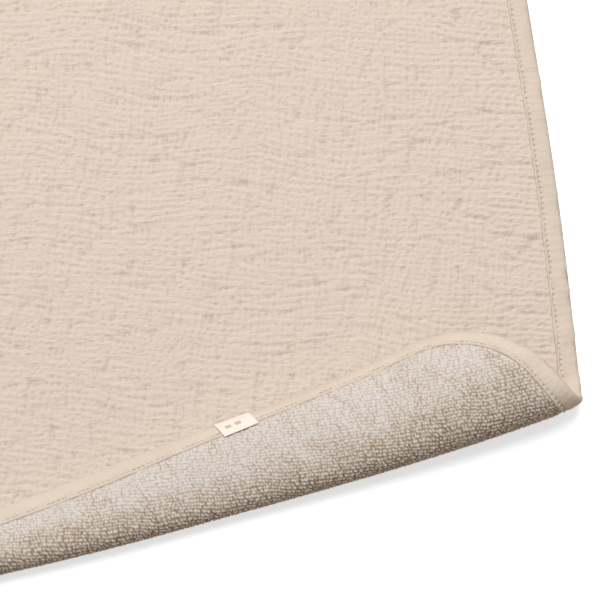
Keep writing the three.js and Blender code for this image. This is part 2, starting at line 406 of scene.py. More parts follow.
long_creases = crease_field(10, 8.0, 26.0, across=False)
puff_rows = crease_field(11, PUFF_PITCH, 13.0, across=False)
puff_columns = crease_field(12, 1.1 * PUFF_PITCH, 12.0, across=True)
fine_rows = crease_field(13, FINE_PITCH, 6.0, across=False)
fine_columns = crease_field(15, FINE_PITCH, 6.5, across=True)
broad_swell = band_noise(
    14, CRINKLE_SIZE, CRINKLE_STEP, lambda u, v: bell(np.hypot(u, 1.3 * v), 0.035, 0.02))

LOOP_LENGTH = 1.4       # along the rows
LOOP_PITCH = 1.75       # from row to row
PILE_GRAIN = ROLL_HEADING
PILE_STEP = 2.0
PILE_SIZE = 512
loop_table = np.random.default_rng(21).random((3, 1024, 1024))
pile_lean = band_noise(22, PILE_SIZE, PILE_STEP, lambda u, v: bell(np.hypot(u, v), 0.0, 0.05))
pile_patches = band_noise(23, PILE_SIZE, PILE_STEP, lambda u, v: bell(np.hypot(0.7 * u, v), 0.0, 0.09))


def grain_axes(x, y):
    """Coordinates along and across the gauze's own threads, gently wandering."""
    bend = sample(broad_swell, CRINKLE_STEP, 0.3 * x + 90, 0.3 * y + 40)
    drift = sample(broad_swell, CRINKLE_STEP, 0.3 * x - 50, 0.3 * y + 210)
    u = x * math.cos(GRAIN + GRAIN_SKEW) + y * math.sin(GRAIN + GRAIN_SKEW) + 0.9 * drift
    v = -x * math.sin(GRAIN) + y * math.cos(GRAIN) + 1.2 * bend
    return u + 2 * HALF, v + 2 * HALF


def pulled_in(x, y):
    """How much the seam gathers the gauze beside the side bindings."""
    return smooth((np.abs(x) - HALF + 60.0) / 45.0)


def creases(x, y):
    """Heights, in millimetres, of the gauze's puffs between their creases, and of a few longer folds."""
    u, v = grain_axes(x, y)

    def puff(field):
        return np.tanh(1.7 * np.abs(sample(field, CRINKLE_STEP, u, v))) - 0.7

    gathered = pulled_in(x, y)
    rows = (0.58 + 0.22 * gathered) * puff(puff_rows) + 0.34 * puff(fine_rows)
    columns = (0.62 - 0.24 * gathered) * puff(puff_columns) + 0.40 * puff(fine_columns)
    folds = -(0.30 + 0.25 * gathered) * np.exp(-((sample(long_creases, CRINKLE_STEP, u, v) / 0.12) ** 2))
    return rows + columns, folds


def swell(x, y):
    """Slow rise and fall of the sheet, in millimetres."""
    u, v = grain_axes(x, y)
    return 0.10 * sample(broad_swell, CRINKLE_STEP, u, v)


def loops(x, y):
    """Height of the terry's pile, about -1 to 1: rows of domed loops, each a little out of place."""
    lean = 0.5 * sample(pile_lean, PILE_STEP, x, y)
    sway_of_rows = 0.5 * sample(pile_lean, PILE_STEP, y + 77, x + 31)
    u = (x * math.cos(PILE_GRAIN) + y * math.sin(PILE_GRAIN) + lean) / LOOP_LENGTH
    v = (y * math.cos(PILE_GRAIN) - x * math.sin(PILE_GRAIN) + sway_of_rows) / LOOP_PITCH
    highest = np.full(x.shape, -1.0)
    for down in (-1, 0, 1):
        row = np.floor(v).astype(int) + down
        brick = 0.5 * (row % 2)
        for over in (-1, 0, 1):
            place_in_row = np.floor(u - brick).astype(int) + over
            shift_u, shift_v, size = loop_table[:, row % 1024, place_in_row % 1024]
            off_u = u - brick - place_in_row - 0.5 - 0.75 * (shift_u - 0.5)
            off_v = v - row - 0.5 - 0.30 * (shift_v - 0.5)
            dome = 0.35 + 0.65 * size - 5.2 * off_u**2 - 6.0 * off_v**2
            highest = np.maximum(highest, dome)
    return highest


def pile_opening_and_shade(x, y):
    """0 where the pile lies closed near the free edge, 1 where the roll bends it open; the terry's colour
    uses it to paint shade on the roll's front and a lighter painted sheen near the free edge.
    """
    along, run = beyond_lift_off(x, y)
    open_run = roll_radius(along) * 2.9
    patches = 0.10 * sample(pile_patches, PILE_STEP, x, y)
    return np.clip(smooth(1.0 - (run - 0.55 * open_run) / (1.25 * open_run)) + patches, 0.0, 1.0)


# ---- meshes ----

def grid_faces(rows, columns, wrap_rows=False, wrap_columns=False):
    """Quads of a grid of points stored row by row."""
    j = np.arange(rows if wrap_rows else rows - 1)
    i = np.arange(columns if wrap_columns else columns - 1)
    j, i = np.meshgrid(j, i, indexing="ij")
    k, m = (j + 1) % rows, (i + 1) % columns
    quads = np.stack([j * columns + i, j * columns + m, k * columns + m, k * columns + i], -1)
    return quads.reshape(-1, 4)


def for_materials(x, y, relief=None):
    """What materials read at a mesh's points: the flat towel's coordinates in metres, and any relief, which
    carries painted shade into the colour.
    """
    flat = {"flat": np.stack([x, y, np.zeros(len(x))], 1) * MM}
    return flat if relief is None else flat | {"relief": relief}


def build_mesh(name, points, faces, material, attributes=None):
    """A smooth quad mesh from points in millimetres, without the points that no face uses."""
    used, faces = np.unique(faces, return_inverse=True)
    faces = faces.reshape(-1, 4)
    mesh = bpy.data.meshes.new(name)
    mesh.vertices.add(used.size)
    mesh.vertices.foreach_set("co", (points[used] * MM).astype(np.float32).ravel())
    mesh.loops.add(faces.size)
    mesh.loops.foreach_set("vertex_index", faces.astype(np.int32).ravel())
    mesh.polygons.add(len(faces))
    mesh.polygons.foreach_set("loop_start", np.arange(0, faces.size, 4, dtype=np.int32))
    mesh.polygons.foreach_set("use_smooth", np.ones(len(faces), bool))
    mesh.update(calc_edges=True)
    for key, values in (attributes or {}).items():
        values = values[used]
        kind = "FLOAT_VECTOR" if values.ndim == 2 else "FLOAT"
        data = mesh.attributes.new(key, kind, "POINT").data
        data.foreach_set("vector" if values.ndim == 2 else "value", values.astype(np.float32).ravel())
    mesh.materials.append(material)
    piece = bpy.data.objects.new(name, mesh)
    bpy.context.scene.collection.objects.link(piece)
    return piece, used


def vertex_normals(points, faces):
    """Area-weighted normals, from the whole sheet, so that pieces cut from it meet without a seam."""
    a, b, c, d = (points[faces[:, k]] for k in range(4))
    face_normals = np.cross(c - a, d - b)
    normals = np.zeros_like(points)
    for k in range(4):
        np.add.at(normals, faces[:, k], face_normals)
    return normals / np.maximum(np.linalg.norm(normals, axis=1, keepdims=True), 1e-12)


def set_weights(piece, weights, body, other, joint):
    """Bakes a piece's transform into its mesh."""
    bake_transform(piece)


STRETCHES = {
    "body": (None, "towel_body"),
    "hem_roll": ("hem_roll_turn", "towel_body", "hem_roll"),
    "hem_flap": ("hem_flap_turn", "hem_roll", "hem_flap"),
    "hooded_corner": ("hood_raise", "towel_body", "hooded_corner"),
}


def cad_nodes(layer, *body):
    """CAD nodes that a layer stands for, by stretch."""
    folded = {stretch: [f"{layer}_{stretch}"] for stretch in ("hem_roll", "hem_flap", "hooded_corner")}
    return {"body": body} | folded


def lay_cloth(layer, x, y, offset, faces, material, nodes, relief=None, parts=1):
    """Places a layer of the towel, cuts it where it folds, and attaches its main stretch to the towel's
    body.

    nodes maps each stretch to the CAD nodes it stands for; parts splits the main stretch by its faces' x.
    """
    points = place(x, y, offset)
    run, past, first, second = roll_weights(x, y, points, offset)
    reach = corner_reach(x, y)
    mean_run = run[faces].mean(1)
    flap = past[faces].mean(1) > 0
    corner = reach[faces].mean(1) > CORNER_CUT
    kinds = np.where(corner, 3, np.where(flap, 2, np.where(mean_run > 0, 1, 0)))
    normals = vertex_normals(points, faces)
    attributes = for_materials(x, y, relief)
    shares = {"hem_roll": first, "hem_flap": second, "hooded_corner": corner_weight(x, y)}
    for kind, (stretch, bodies) in enumerate(STRETCHES.items()):
        chosen = faces[kinds == kind]
        if not len(chosen):
            continue
        pieces = [chosen]
        if stretch == "body" and parts > 1:
            order = np.argsort(x[chosen].mean(1), kind="stable")
            pieces = [chosen[np.sort(part)] for part in np.array_split(order, parts)]
        for number, part in enumerate(pieces):
            name = f"{layer}_{stretch}" + (f"_{number + 1}" if len(pieces) > 1 else "")
            piece, used = build_mesh(name, points, part, material, attributes)
            piece.data.normals_split_custom_set_from_vertices(normals[used])
            if bodies[0] is None:
                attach(piece, bodies[1])
            else:
                set_weights(piece, shares[stretch][used], bodies[1], bodies[2], bodies[0])
            if nodes.get(stretch):
                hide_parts(*nodes[stretch])


# ---- outline ----

STRAIGHT = 2 * (HALF - CORNER_RADIUS)
QUARTER = CORNER_RADIUS * math.pi / 2
PERIMETER = 4 * (STRAIGHT + QUARTER)
# distances along the outline run anticlockwise from the start of the hem at the left
HEM_FINER_FROM = 190.0  # before this distance the hem lies flat


def outline(distance, inset):
    """Flat point at a distance along the towel's outline, moved inwards."""
    distance = distance % PERIMETER
    side = np.floor(distance / (STRAIGHT + QUARTER))
    rest = distance - side * (STRAIGHT + QUARTER)
    turn = np.maximum(rest - STRAIGHT, 0.0) / CORNER_RADIUS
    reach = CORNER_RADIUS - inset
    local_x = np.minimum(rest, STRAIGHT) - STRAIGHT / 2 + reach * np.sin(turn)
    local_y = -(HALF - CORNER_RADIUS) - reach * np.cos(turn)
    heading = side * math.pi / 2
    x = local_x * np.cos(heading) - local_y * np.sin(heading)
    y = local_x * np.sin(heading) + local_y * np.cos(heading)
    return x, y


def outline_stations(fine, coarse):
    """Distances along the outline, close together where the towel is seen from near."""
    dense_start = NEAR_FROM_X + HALF - CORNER_RADIUS
    dense_end = STRAIGHT + QUARTER + NEAR_TO_Y + HALF - CORNER_RADIUS
    stretches = [(0.0, HEM_FINER_FROM, coarse), (HEM_FINER_FROM, dense_start, 1.6 * fine),
                 (dense_start, dense_end, fine), (dense_end, PERIMETER, coarse)]
    runs = [np.linspace(a, b, max(int((b - a) / step), 2), endpoint=False) for a, b, step in stretches]
    return np.concatenate(runs)


# ---- materials ----

BUMP_STRENGTH = 0.7


def fill(tree, node, inputs):
    """Links a node's inputs to sockets, or sets them to plain values."""
    for name, value in inputs.items():
        if isinstance(value, bpy.types.NodeSocket):
            tree.links.new(value, node.inputs[name])
        else:
            node.inputs[name].default_value = value


def add_node(tree, kind, inputs, output=0, **settings):
    """Adds a node with its inputs, by name or number, and returns one of its outputs."""
    node = tree.nodes.new("ShaderNode" + kind)
    for key, value in settings.items():
        setattr(node, key, value)
    fill(tree, node, inputs)
    return node.outputs[output]


def new_material(name):
    material = bpy.data.materials.new(name)
    material.use_nodes = True
    return material, material.node_tree, material.node_tree.nodes["Principled BSDF"]


def flat_coordinates(tree, scale):
    """The flat towel's own coordinates, scaled so that one unit is one repeat."""
    flat = add_node(tree, "Attribute", {}, "Vector", attribute_name="flat")
    return add_node(tree, "Mapping", {"Scale": scale, "Vector": flat})


def noise_over(tree, vector, scale, detail=3.0):
    return add_node(tree, "TexNoise", {"Vector": vector, "Scale": scale, "Detail": detail}, "Fac")


def add_share(tree, value, share, noise):
    """A value with a share of a noise added to it."""
    return add_node(tree, "Math", {0: noise, 1: share, 2: value}, operation="MULTIPLY_ADD")


def add_relief(tree, share, noise):
    relief = add_node(tree, "Attribute", {}, "Fac", attribute_name="relief")
    return add_share(tree, relief, share, noise)


def ramp(tree, factor, stops):
    """A colour ramp from (place, colour) stops."""
    node = tree.nodes.new("ShaderNodeValToRGB")
    elements = node.color_ramp.elements
    while len(elements) < len(stops):
        elements.new(0.5)
    for element, (position, colour) in zip(elements, stops):
        element.position = position
        element.color = (*colour, 1.0)
    fill(tree, node, {"Fac": factor})
    return node.outputs["Color"]


def bump(tree, height, distance):
    inputs = {"Distance": distance, "Strength": BUMP_STRENGTH, "Height": height}
    return add_node(tree, "Bump", inputs, "Normal")


def thread_height(tree, fine, coarse):
    """Uneven threads in both directions: two stretched noises."""
    across, along = (noise_over(tree, flat_coordinates(tree, scale), 1.0, 2.0)
                     for scale in ((coarse, fine, 1.0), (fine, coarse, 1.0)))
    return add_share(tree, along, 1.0, across)


def cloth_material(name, dark, light, thread, depth, relief=True, mottle=220.0):
    """Matte woven cloth, faintly mottled, and with relief painted darker down in its creases as shade.

    thread is the number of bumps to the metre across its threads, and depth their height in metres.
    """
    material, tree, shader = new_material(name)
    mottled = noise_over(tree, flat_coordinates(tree, (1.0, 1.0, 1.0)), mottle)
    factor = add_relief(tree, 0.25, mottled) if relief else mottled
    fill(tree, shader, {
        "Base Color": ramp(tree, factor, [(0.1, dark), (0.75, light)]),
        "Roughness": 0.95, "Specular IOR Level": 0.15, "Sheen Weight": 0.08, "Sheen Roughness": 0.6,
        "Normal": bump(tree, thread_height(tree, thread, 0.3 * thread), depth),
    })
    return material


def terry_material(name, ground, side, tip):
    """Terry pile: bright loop tips over browner loop sides and a dark ground, partly the darker backing and
    partly painted shade between the loops and on the roll's front, with a fuzzy fine bump.
    """
    material, tree, shader = new_material(name)
    fuzz = noise_over(tree, flat_coordinates(tree, (1.0, 1.0, 1.0)), 900.0, 4.0)
    stops = [(0.25, ground), (0.72, side), (1.0, tip)]
    fill(tree, shader, {
        "Base Color": ramp(tree, add_relief(tree, 0.55, fuzz), stops),
        "Roughness": 1.0, "Specular IOR Level": 0.1, "Sheen Weight": 0.12, "Sheen Roughness": 0.7,
        "Normal": bump(tree, fuzz, 0.0005),
    })
    return material


# the muslin's dark colour is painted shade down in its creases
MUSLIN = cloth_material("muslin", (0.49, 0.40, 0.33), (0.672, 0.568, 0.482), 700.0, 0.0007)
BINDING = cloth_material("binding", (0.615, 0.515, 0.425), (0.67, 0.565, 0.47), 800.0, 0.0004, False, 60.0)
# the terry's dark ground is partly the darker backing and partly painted shade between the loops and on the
# roll's front
TERRY = terry_material("terry", (0.19, 0.135, 0.09), (0.50, 0.40, 0.315), (0.655, 0.615, 0.585))
THREAD = cloth_material("thread", (0.62, 0.53, 0.44), (0.72, 0.63, 0.54), 2400.0, 0.0001, False)
LABEL = cloth_material("label_satin", (0.81, 0.72, 0.65), (0.87, 0.78, 0.70), 1600.0, 0.0001, False)
LABEL_MOTIF = cloth_material("label_motif", (0.5, 0.42, 0.33), (0.6, 0.51, 0.42), 1600.0, 0.0001, False)


# ---- the towel's sheets ----

def spaced(start, end, step):
    return np.linspace(start, end, max(int(round((end - start) / step)), 1), endpoint=False)


def sheet_grid(x_lines, y_lines, keep):
    """A grid's points on the flat towel, and its quads that satisfy keep and lie within the tuck."""
    x, y = (grid.ravel() for grid in np.meshgrid(x_lines, y_lines))
    faces = grid_faces(y_lines.size, x_lines.size)
    inside = (beyond_straights(x, y) <= CORNER_RADIUS - TUCK) & keep(x, y)
    return x, y, faces[inside[faces].all(1)]


# colour factor of the gauze: painted shade, darker down in its creases and folds and lighter on its puffs
def muslin_crease_shade(puffs, folds):
    return np.clip(0.62 + 0.62 * puffs + 0.35 * folds, 0, 1)


def muslin_face():
    """The muslin sheet: fine where it is seen from near, and sunk and calmer beside the seam."""
    fine, coarse = ((0.9, 2.4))
    x_lines = np.concatenate([spaced(-HALF, NEAR_FROM_X, coarse), spaced(NEAR_FROM_X, HALF + fine, fine)])
    y_lines = np.concatenate([spaced(-HALF, NEAR_TO_Y, fine), spaced(NEAR_TO_Y, HALF + coarse, coarse)])
    x, y, faces = sheet_grid(x_lines, y_lines, lambda x, y: True)
    puffs, folds = creases(x, y)
    height = puffs + folds
    seam = smooth((edge_distance(x, y) - BINDING_WIDTH + 2.0) / 5.0)
    offset = MUSLIN_TOP - 0.35 * (1 - seam) + height * (0.5 + 0.5 * seam) + swell(x, y) * seam
    # the gauze's colour carries painted shade in its creases and folds
    lay_cloth("muslin_face", x, y, offset, faces, MUSLIN, cad_nodes("muslin", "muslin_face"),
              muslin_crease_shade(puffs, folds), parts=4)


def terry_sheet(layer, x_lines, y_lines, keep, nodes, parts=1):
    """A part of the terry: the more the pile opens, the rougher it is, and the darker its colour, painted as
    shade on the roll's front.
    """
    x, y, faces = sheet_grid(x_lines, y_lines, keep)
    height = loops(x, y)
    seam = smooth((edge_distance(x, y) - BINDING_WIDTH + 0.6) / 3.0)
    opening_and_shade = pile_opening_and_shade(x, y)
    depth = (0.28 + 0.16 * opening_and_shade) * (0.35 + 0.65 * seam)
    offset = TERRY_UNDER + 0.5 * (1 - seam) - depth * height - 0.35 * seam
    # colour: painted shade on the roll's front, darker and browner, a lighter painted sheen near the free
    # edge, and darker down between the loops, partly the backing and partly painted shade
    ground = 0.68 - 0.40 * opening_and_shade + 0.17 * opening_and_shade**2
    relief = np.clip(ground + (0.18 + 0.24 * opening_and_shade) * height, 0, 1)
    lay_cloth(layer, x, y, offset, faces[:, ::-1], TERRY, nodes, relief, parts)


# the hem's own terry sheet ends at this y, and is coarser to the left of this x
HEM_ZONE_TOP = -270.0
HEM_ZONE_LEFT = -60.0


def terry_back():
    """Fine pile where the hem rolls over and on the hooded corner, and a plainer sheet on the table."""
    fine, middle, corner, coarse = ((0.45, 1.3, 0.9, 1.9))
    x_lines = np.concatenate([
        spaced(-HALF, HEM_ZONE_LEFT, coarse), spaced(HEM_ZONE_LEFT, NEAR_FROM_X, middle),
        spaced(NEAR_FROM_X, HALF + fine, fine),
    ])
    y_lines = np.append(spaced(-HALF, HEM_ZONE_TOP, fine), HEM_ZONE_TOP)

    def rolled(x, y):
        return beyond_lift_off(x, y)[1] > -6.0

    def lying(x, y):
        return (beyond_lift_off(x, y)[1] < 0.5) & (corner_reach(x, y) < CORNER_CUT)

    def raised(x, y):
        return corner_reach(x, y) > CORNER_CUT - 2 * coarse

    terry_sheet("terry_hem", x_lines, y_lines, rolled, {
        "hem_roll": ["terry_hem_roll"], "hem_flap": ["terry_hem_flap"],
    })
    lines = spaced(-HALF, HALF + coarse, coarse)
    terry_sheet("terry_back", lines, lines, lying, {"body": ["terry_back"]}, parts=2)
    leg = 2 * (HALF + CORNER_POINT[0]) + 2 * CORNER_BEND + 4 * coarse
    lines = spaced(-HALF, leg - HALF, corner)
    terry_sheet("terry_corner", lines, -lines[::-1], raised, {"hooded_corner": ["terry_hooded_corner"]})


# ---- binding and stitches ----

# inset from the edge and offset from the middle surface, from the inner edge on the muslin side outwards
BINDING_PROFILE = [
    (11.1, 1.45), (11.15, 2.1), (10.8, 2.7), (10.3, 2.9), (9.8, 2.72), (9.35, 2.4), (9.0, 2.28),
    (8.65, 2.38), (8.0, 2.58), (6.8, 2.68), (5.2, 2.68), (3.6, 2.6), (2.2, 2.4), (1.1, 1.95),
    (0.35, 1.15), (0.0, 0.0),
]
BINDING_INSIDE = [(10.2, 1.1), (2.0, 0.7)]


def binding_profile():
    face = np.array(BINDING_PROFILE)
    inside = np.array(BINDING_INSIDE)
    back = face[-2::-1] * [1, -1]
    inside_back = inside * [1, -1]
    return np.concatenate([face, back, inside_back, inside[::-1]])


def pucker(distance, inset, offset):
    """Needle holes along the sunken stitch row, and a faint ripple all over the binding."""
    side = np.sign(offset)
    from_hole = STITCH_PITCH * np.abs((distance / STITCH_PITCH + 0.5) % 1.0 - 0.5)
    row = 0.14 * bell(inset, STITCH_INSET, 0.9)
    hole = HOLE_DEPTH * bell(from_hole, 0.0, 0.5) * bell(inset, STITCH_INSET, 0.6)
    ripple = sample(broad_swell, CRINKLE_STEP, 1.6 * distance, 1.6 * inset + 300 * (side > 0))
    fine = sample(fine_rows, CRINKLE_STEP, 0.8 * inset + 50, 0.9 * distance)
    return side * (0.14 * ripple + 0.05 * fine - row - hole)


def sweep_profile(stations, closed):
    """Distance, inset and offset of the binding's section at every station, and its faces."""
    profile = binding_profile()
    distance = np.repeat(stations, len(profile))
    inset, offset = np.tile(profile, (stations.size, 1)).T
    return distance, inset, offset, grid_faces(stations.size, len(profile), closed, True)


def edge_binding():
    """The folded strip all round the towel, on both of its faces."""
    stations = outline_stations(0.6, 2.4)
    distance, inset, offset, faces = sweep_profile(stations, True)
    wander = 0.25 * sample(broad_swell, CRINKLE_STEP, 2.0 * distance, 0 * distance + 120.0)
    x, y = outline(distance, inset + wander * (inset < 10) * (inset > 0))
    offset = offset + pucker(distance, inset, offset)
    lay_cloth("binding", x, y, offset, faces, BINDING,
              cad_nodes("binding", "binding_left", "binding_right"))


STITCH_HALF = 1.0       # half a stitch's length
STITCH_HEIGHT = 2.42    # of its middle, over the middle surface
STITCH_DIP = 0.35       # how far its ends go down into their holes
# places along a stitch and its radius there
STITCH_RINGS = np.array([(-1.0, 0.10), (-0.75, 0.22), (-0.3, 0.27), (0.3, 0.27), (0.75, 0.22), (1.0, 0.10)])
STITCH_SIDES = 6
THREAD_SIDES = {"needle_thread": 1, "bobbin_thread": -1}


def stitch_row(side, where, stations):
    """Points and faces of a row of single stitches, each a short rounded thread between two holes.

    where(distance, inset) gives flat points, and side is +1 on the muslin face and -1 on the terry.
    """
    angles = 2 * math.pi * np.arange(STITCH_SIDES) / STITCH_SIDES
    rings = len(STITCH_RINGS)
    step, ring, spoke = np.meshgrid(stations, np.arange(rings), angles, indexing="ij")
    length, radius = STITCH_RINGS[ring, 0], STITCH_RINGS[ring, 1]
    dip = STITCH_DIP * (np.abs(length) / STITCH_HALF) ** 3
    distance = (step + length).ravel()
    inset = (STITCH_INSET + radius * np.cos(spoke)).ravel()
    offset = side * (STITCH_HEIGHT + radius * np.sin(spoke) - dip).ravel()
    x, y = where(distance, inset)
    one = grid_faces(rings, STITCH_SIDES, wrap_columns=True)
    size = rings * STITCH_SIDES
    last = size - STITCH_SIDES
    ends = np.array([[0, 3, 2, 1], [0, 5, 4, 3], [last, last + 1, last + 2, last + 3],
                     [last, last + 3, last + 4, last + 5]])
    one = np.concatenate([one, ends])
    if side > 0:
        one = one[:, ::-1]
    faces = (np.arange(stations.size)[:, None, None] * size + one[None]).reshape(-1, 4)
    return x, y, offset, faces


def edge_stitches():
    count = int(PERIMETER / STITCH_PITCH)
    stations = (np.arange(count) + 0.5) * STITCH_PITCH
    for name, side in THREAD_SIDES.items():
        x, y, offset, faces = stitch_row(side, outline, stations)
        lay_cloth(name, x, y, offset, faces, THREAD,
                  cad_nodes(name, f"{name}_left", f"{name}_right"))


# ---- the hood ----

HOOD_REST = 2.9         # offset of the hood's lower face where it is sewn down
HOOD_PUFF = 8.0         # how far the middle of its mouth stands up
HOOD_THICK = 3.4
HOOD_SEAM_DROP = 2.2    # how much lower it is along its sewn edges
HOOD_SEAM_WIDTH = 8.0


def hood_lift(x, y):
    """Offset of the hood's lower face: low at its seams, and arched towards its front."""
    left, top, arch = hood_span(x, y)
    reach = (left + top) / HOOD_LINE
    drop = HOOD_SEAM_DROP * (1 - smooth(np.minimum(left, top) / HOOD_SEAM_WIDTH))
    return HOOD_REST - drop + HOOD_PUFF * arch**0.7 * reach**1.5


def hood_place(x, y, offset):
    """A flat point, offset from the hood's lower face, at rest."""
    lift = hood_lift(x, y)
    x, y = sway(x, y)
    return np.stack([x, y, MID + lift + offset], -1)


def hood_piece(name, x, y, offset, faces, material, node, relief=None):
    piece, used = build_mesh(name, hood_place(x, y, offset), faces, material, for_materials(x, y, relief))
    set_weights(piece, hood_weight(x[used], y[used]), "hooded_corner", "hood", "hood_open")
    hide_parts(node)


def from_hood_front(x, y):
    """Distance from the hood's front edge back towards its tip."""
    return (HOOD_LINE - (x + HALF) - (HALF - y)) / math.sqrt(2)


def hood_sheets():
    """The hood's muslin face and its terry lining."""
    step = 1.5
    x_lines = spaced(-HALF, -HALF + HOOD_LINE + step, step)
    y_lines = spaced(HALF - HOOD_LINE - step, HALF + step, step)

    x, y, faces = sheet_grid(x_lines, y_lines, lambda x, y: from_hood_front(x, y) > 2.5)
    puffs, folds = creases(x + 31, y - 57)
    height = puffs + folds + swell(x, y)
    calm = smooth(np.minimum(edge_distance(x, y) - BINDING_WIDTH + 1, from_hood_front(x, y) - 9.0) / 6.0)
    # its colour carries painted shade in the creases, as on the sheet
    hood_piece("muslin_hood_face", x, y, HOOD_THICK + height * calm, faces, MUSLIN, "muslin_hood",
               muslin_crease_shade(puffs, folds))
    pile = loops(x, y)
    # the lining is painted darker down between its loops: partly the darker backing, partly painted shade
    hood_piece("terry_hood_lining", x, y, -0.35 * pile * calm, faces[:, ::-1], TERRY, "terry_hood",
               np.clip(0.5 + 0.5 * pile, 0, 1))


HOOD_FRONT_LENGTH = HOOD_LINE * math.sqrt(2)
HOOD_END_TUCK = 8.0


def hood_front_point(distance, inset):
    """Flat point at a distance along the hood's front edge from the left, moved back to the tip."""
    back = inset / math.sqrt(2)
    along = distance / math.sqrt(2)
    return -HALF + along - back, HALF - HOOD_LINE + along + back


def hood_front():
    """The hood's front binding and its stitches: the edge's profile, scaled to the hood's thickness."""
    step = 1.6
    stations = np.arange(HOOD_END_TUCK, HOOD_FRONT_LENGTH - HOOD_END_TUCK, step)
    distance, inset, offset, faces = sweep_profile(stations, False)
    middle, scale = 0.5 * HOOD_THICK, 0.25 * HOOD_THICK
    x, y = hood_front_point(distance, inset)
    offset = offset + pucker(distance + 900, inset, offset)
    hood_piece("binding_of_hood", x, y, middle + scale * offset, faces, BINDING, "binding_hood_front")
    rows = np.arange(HOOD_END_TUCK + 2, HOOD_FRONT_LENGTH - HOOD_END_TUCK - 2, STITCH_PITCH)
    for name, side in THREAD_SIDES.items():
        x, y, offset, faces = stitch_row(side, hood_front_point, rows)
        hood_piece(f"{name}_of_hood", x, y, middle + scale * offset, faces, THREAD, f"{name}_hood_front")


# ---- labels and loop ----

def slab(rows, columns):
    """Quads of a closed slab made of two grids of points, the upper first."""
    top = grid_faces(rows, columns)
    under = top[:, ::-1] + rows * columns
    border = np.concatenate([
        np.arange(columns), np.arange(2 * columns, rows * columns, columns) - 1,
        np.arange(rows * columns - 1, (rows - 1) * columns - 1, -1),
        np.arange((rows - 2) * columns, 0, -columns),
    ])
    after = np.roll(border, -1)
    walls = np.stack([border, border + rows * columns, after + rows * columns, after], 1)
    return np.concatenate([top, under, walls])


LABEL_MIDDLE = 246.0
LABEL_LENGTH = 20.0
LABEL_SEWN = BINDING_WIDTH + 1.8        # insets of its sewn edge and of its free edge
LABEL_FREE = LABEL_SEWN - 10.0
LABEL_UNDER = (3.2, 2.7)                # how far its inner face stands off the middle surface at those edges
LABEL_THICKNESS = 0.55
LABEL_CREASE = 1.2                      # half the width of the crease in which it flips
LABEL_BULGE = 0.25
DASH_CENTRES = (-0.23, 0.05)            # shares of the label's length, from its middle
DASH_HALF_LENGTH = 1.6
DASH_INSETS = (BINDING_WIDTH - 1.4, BINDING_WIDTH - 3.0)
DASH_DEPTHS = (3.6, 3.98)


def tab_piece(name, x, y, upper, lower, rows, columns, material, weights, *joint):
    """A slab of tape between two grids of points, handed to set_weights with its weights and a joint given
    as body, other body, name.
    """
    points = np.concatenate([upper, lower])
    fields = for_materials(np.tile(x, 2), np.tile(y, 2))
    piece, _ = build_mesh(name, points, slab(rows, columns), material, fields)
    set_weights(piece, weights(points), *joint)
    return piece


def label_weight(points):
    """Weights across the label's crease, along its joint's axis: 0 on its sewn side and 1 on its free side.
    """
    crease, _ = joint_place("label_flip")
    edges = np.array([LABEL_SEWN, LABEL_FREE]) - HALF
    sewn, free = place(np.full(2, LABEL_MIDDLE), edges, -np.array(LABEL_UNDER))
    outward = (free - sewn) / np.linalg.norm(free - sewn)
    return smooth(0.5 + (points - crease) @ outward / (2 * LABEL_CREASE))


def label_piece(name, x, y, inner, outer, rows, columns, material):
    """A part of the woven label, between two depths on the terry side."""
    return tab_piece(name, x, y, place(x, y, -outer), place(x, y, -inner), rows, columns, material,
                     label_weight, "hem_flap", "label", "label_flip")


def woven_label():
    """A folded tab of woven tape over the binding on the terry side, with two plain woven dashes."""
    rows, columns = 16, 28
    along, across = np.meshgrid(np.linspace(-0.5, 0.5, columns), np.linspace(0.0, 1.0, rows))
    along, across = along.ravel(), across.ravel()
    x = LABEL_MIDDLE + LABEL_LENGTH * along
    y = LABEL_SEWN + (LABEL_FREE - LABEL_SEWN) * across - HALF
    inner = LABEL_UNDER[0] + (LABEL_UNDER[1] - LABEL_UNDER[0]) * across
    inner = inner + LABEL_BULGE * np.sin(math.pi * across)
    tab = label_piece("woven_label_tab", x, y, inner, inner + LABEL_THICKNESS, rows, columns, LABEL)
    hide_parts("woven_label")
    for number, centre in enumerate(DASH_CENTRES):
        label_dash(number + 1, LABEL_MIDDLE + LABEL_LENGTH * centre)


def label_dash(number, middle):
    """A short woven dash on the label."""
    rows, columns = 4, 8
    along = np.linspace(-DASH_HALF_LENGTH, DASH_HALF_LENGTH, columns)
    x, inset = (grid.ravel() for grid in np.meshgrid(middle + along, np.linspace(*DASH_INSETS, rows)))
    inner, outer = (np.full(x.shape, depth) for depth in DASH_DEPTHS)
    label_piece(f"woven_label_dash_{number}", x, inset - HALF, inner, outer, rows, columns, LABEL_MOTIF)


CARE_LABEL_BEND = 3.0       # reach over which it bends at its seam
CARE_LABEL_REST = 0.6       # gap between its lower face and the CAD label's
CARE_LABEL_BULGE = 1.2
CARE_LABEL_THICKNESS = 0.35


def care_label_weight(points):
    seam, _ = joint_place("care_label_swing")
    return smooth((points[:, 0] - seam[0]) / CARE_LABEL_BEND)


